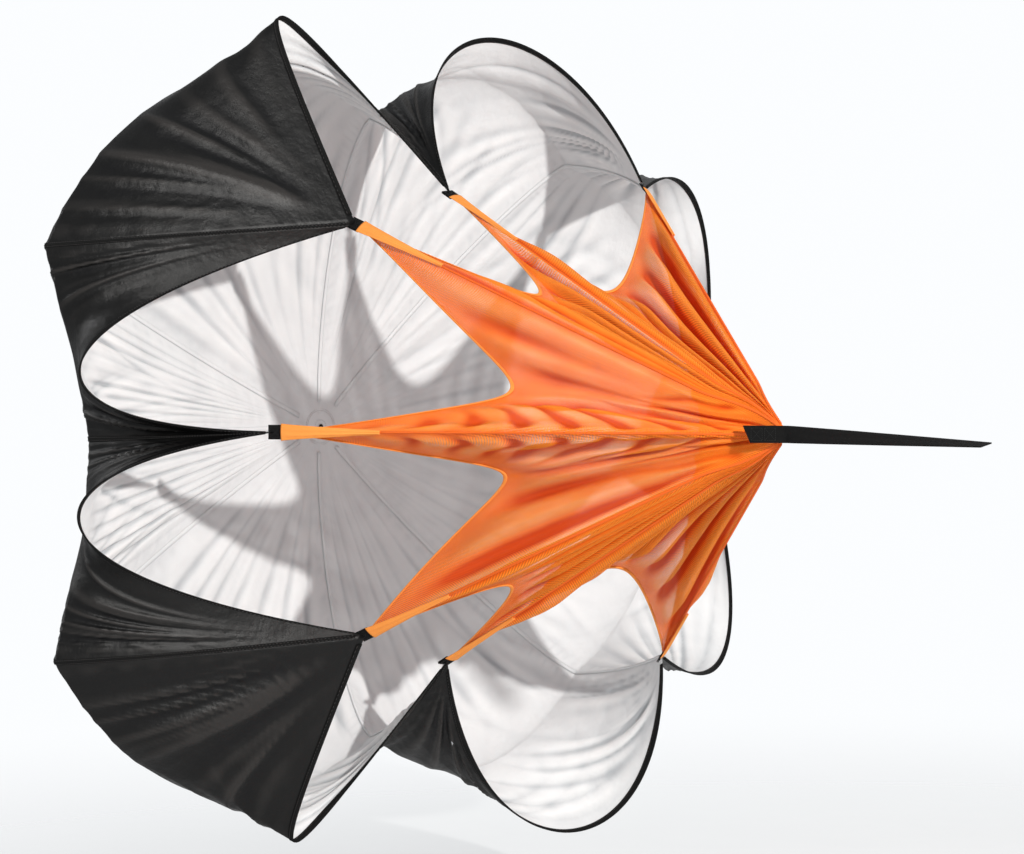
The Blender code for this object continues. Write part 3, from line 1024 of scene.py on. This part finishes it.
def root_point(index, across, along):
    turn = tab_place(index).to_3x3()
    width = mix(ROOT_WIDTH, 0.006, along ** 0.8)
    side = (across - 0.5) * width
    crown = 0.0016 + 0.0025 * (1 - (2 * across - 1) ** 2)
    return arm_point(index, ROOT_START + ROOT_REACH * along) + turn @ Vector((0, side, crown))


roots = []
for index in range(COUNT):
    root = Cloth(lambda across, along: root_point(index, across, along), 12, 80)
    root.push(lambda across, along, flat: (
        ROOT_RIPPLE * sin(2 * pi * 2.5 * across) * smooth(0, 0.1, along)))
    piece = add_piece(f"arm_root_{index + 1}", root.bm, [NET_EDGE])
    thicken(piece, ROOT_THICKNESS)
    roots.append(piece)
print(len(roots), "arm roots")

# %% [markdown]
# At the apex all eight arm ends are folded into one flat upright stack, as tall as the webbing
# is wide, and sewn through. The stack is a single cloth folded to and fro like a fan.

# %% Gathered end of the shroud
GATHER_LENGTH, GATHER_HALF, GATHER_FOLDS = 0.026, 0.0125, 7


def gathered_fan(across, along):
    """A fan fold: along runs to and fro across the stack while it climbs from bottom to top."""
    climb = 2 * along - 1
    swing = 2 * abs(2 * ((along * GATHER_FOLDS) % 1) - 1) - 1
    narrow = 1 - 0.45 * across * across
    x = APEX.x - 0.017 + GATHER_LENGTH * across - 0.003 * climb * climb
    return Vector((x, 0.0034 * swing * narrow, AXIS_HEIGHT + GATHER_HALF * climb * narrow))


fan = Cloth(gathered_fan, 12, 112)
gather = add_piece("gathered_end", fan.bm, [NET_SEAM], ["mesh_gather"])
thicken(gather, 0.0006)
print("gathered end is", round(2 * GATHER_HALF * 1000), "mm tall")

# %% [markdown]
# ## The tether
# One strip of 25 mm webbing pulls the chute. Its lap runs beside the nearest arm and carries two
# boxed crosses. The free part stands upright at the apex and makes most of a quarter turn towards
# its cut end. Its weave runs along the strip, so a grid along its line carries it round the turn.

# %% Tether
TETHER_SIDE = -0.0065
TETHER_LAP = 0.056
TWIST_TAPER = 0.80
STRAP_START = Vector((APEX.x + 0.004, TETHER_SIDE, AXIS_HEIGHT))
CUT_END = Vector((0, 0, 0))


def strap_point(across, along):
    """Point across the webbing and along it, upright at the chute and nearly flat at its end."""
    turn = acos(1 - TWIST_TAPER * along)
    wide = Vector((0, sin(turn), cos(turn))) * WEBBING_WIDTH
    ripple = 0.0006 * creased(along * 9, across * 1.5, 500) * smooth(0, 0.1, along)
    return STRAP_START.lerp(CUT_END, along) + wide * (across - 0.5) + Vector((0, ripple, 0))


ARM_RUN = (pull_point(0) - APEX).normalized()
ARM_RUN.z = 0
LAP_CORNER = Vector((APEX.x - 0.001, TETHER_SIDE, AXIS_HEIGHT))
LAP_END = LAP_CORNER + ARM_RUN * TETHER_LAP


def lap_middle(share):
    """Line of the lap: from its cut end along the arm, round a soft bend, to the free strap."""
    before, after = LAP_CORNER.lerp(LAP_END, 0.15), STRAP_START + Vector((0.001, 0, 0))
    if share < 0.8:
        return LAP_END.lerp(before, share / 0.8)
    bend = (share - 0.8) / 0.2
    return (before * (1 - bend) ** 2 + LAP_CORNER * (2 * bend * (1 - bend)) + after * bend ** 2)


def lap_point(across, along):
    slant = (across - 0.5) * 0.011 * smooth(0.3, 0, along)
    middle = lap_middle(along) + ARM_RUN * slant
    return middle + Vector((0, 0, (across - 0.5) * WEBBING_WIDTH))


def webbing_piece(name, cloth, nodes, body):
    piece = add_piece(name, cloth.bm, [WEBBING], nodes, body)
    thicken(piece, WEBBING_THICKNESS)
    soft = piece.modifiers.new("worn edge", "BEVEL")
    soft.width = 0.0005
    soft.segments = 2
    soft.limit_method = "ANGLE"
    return piece


strap = webbing_piece("tether", Cloth(strap_point, 8, 120), ["tether_webbing"], None)
webbing_piece("tether_lap_sewn", Cloth(lap_point, 8, 40), ["tether_lap"], "chute")
lap_stitches = []
for share in (0.27, 0.62):
    middle = LAP_END.lerp(LAP_CORNER, share)
    ahead, up = -ARM_RUN.normalized(), Vector((0, 0, 1))
    turn = Matrix((ahead, up, ahead.cross(up))).transposed().to_4x4()
    place = Matrix.Translation(middle) @ turn
    lap_stitches += boxed_cross(place, 0.016, 0.018, WEBBING_THICKNESS / 2 + 0.0003)
stitches("lap_stitches", lap_stitches, 0.0028, BLACK_THREAD)

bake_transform(strap, "chute", "tether", start=STRAP_START, end=STRAP_START + Vector((0.022, 0, 0)))

# %% [markdown]
# ## The studio
# A pale floor lies under the chute and fades out into a plain pale surround, so no horizon line
# crosses the view. One small light stands far in front, where the chute opens, and throws the
# shadows of the mesh on to the silver lining. A broad, weaker one fills the outside.

# %% Floor, surround and lights
def pale_floor():
    finish = Finish("pale_floor", (0.86, 0.86, 0.86), 0.8)
    place = finish.node("ShaderNodeTexCoord", {}).outputs["Object"]
    away = finish.node("ShaderNodeVectorMath", {0: place}, operation="LENGTH").outputs["Value"]
    fade = finish.node("ShaderNodeMapRange", {0: away, 1: 1.0, 2: 4.0, 3: 0.6, 4: 0.0},
                       interpolation_type="SMOOTHSTEP").outputs[0]
    finish.set("Base Color", finish.ramp(finish.cloud(3, 3), (0.3, (0.90,) * 3), (0.7, (0.93,) * 3)))
    finish.set("Alpha", fade)
    return finish


def add_floor():
    bm = bmesh.new()
    bmesh.ops.create_circle(bm, cap_ends=True, segments=96, radius=6,
                            matrix=Matrix.Translation((CENTRE.x, 0, -0.80)))
    mesh = bpy.data.meshes.new("floor")
    bm.to_mesh(mesh)
    bm.free()
    mesh.materials.append(pale_floor().material)
    floor = bpy.data.objects.new("floor", mesh)
    bpy.context.scene.collection.objects.link(floor)


def add_light(name, place, size, power, colour=(1, 1, 1)):
    light = bpy.data.lights.new(name, "AREA")
    light.shape = "DISK"
    light.size = size
    light.energy = power
    light.color = colour
    thing = bpy.data.objects.new(name, light)
    bpy.context.scene.collection.objects.link(thing)
    thing.location = place
    thing.rotation_euler = (Vector(place) - CENTRE).to_track_quat("Z", "Y").to_euler()


SEEN_LEVEL, LIT_LEVEL = 1.0, 0.50


def add_surround():
    world = bpy.data.worlds.new("surround")
    world.use_nodes = True
    shade = world.node_tree.nodes["Background"]
    shade.inputs["Color"].default_value = (0.97, 0.985, 1, 1)
    seen = world.node_tree.nodes.new("ShaderNodeLightPath").outputs["Is Camera Ray"]
    level = world.node_tree.nodes.new("ShaderNodeMath")
    level.operation = "MULTIPLY_ADD"
    world.node_tree.links.new(seen, level.inputs[0])
    level.inputs[1].default_value = SEEN_LEVEL - LIT_LEVEL
    level.inputs[2].default_value = LIT_LEVEL
    world.node_tree.links.new(level.outputs[0], shade.inputs["Strength"])
    bpy.context.scene.world = world


add_floor()
add_surround()
add_light("key", CENTRE + Vector((4.2, -0.75, 1.2)), 0.14, 190, (1.0, 0.98, 0.95))
add_light("fill", CENTRE + Vector((-2.4, -3.6, 2.0)), 1.0, 90)
bpy.context.scene.view_settings.view_transform = "Standard"
print("two lights and a pale surround")

# %% [markdown]
# ## What the soft pieces are
# Every gore and panel is printed with the width, length and area of its flat cut. Its flat cut is
# measured on the folded cloth, because cloth folds without stretching.

for name, cuts in (("gore", gore_cuts), ("panel", panel_cuts)):
    for index, (width, length, area) in enumerate(cuts):
        print(f"{name} {index + 1}: {width:.3f} x {length:.3f} m, {area:.4f} m2")
for index in range(COUNT):
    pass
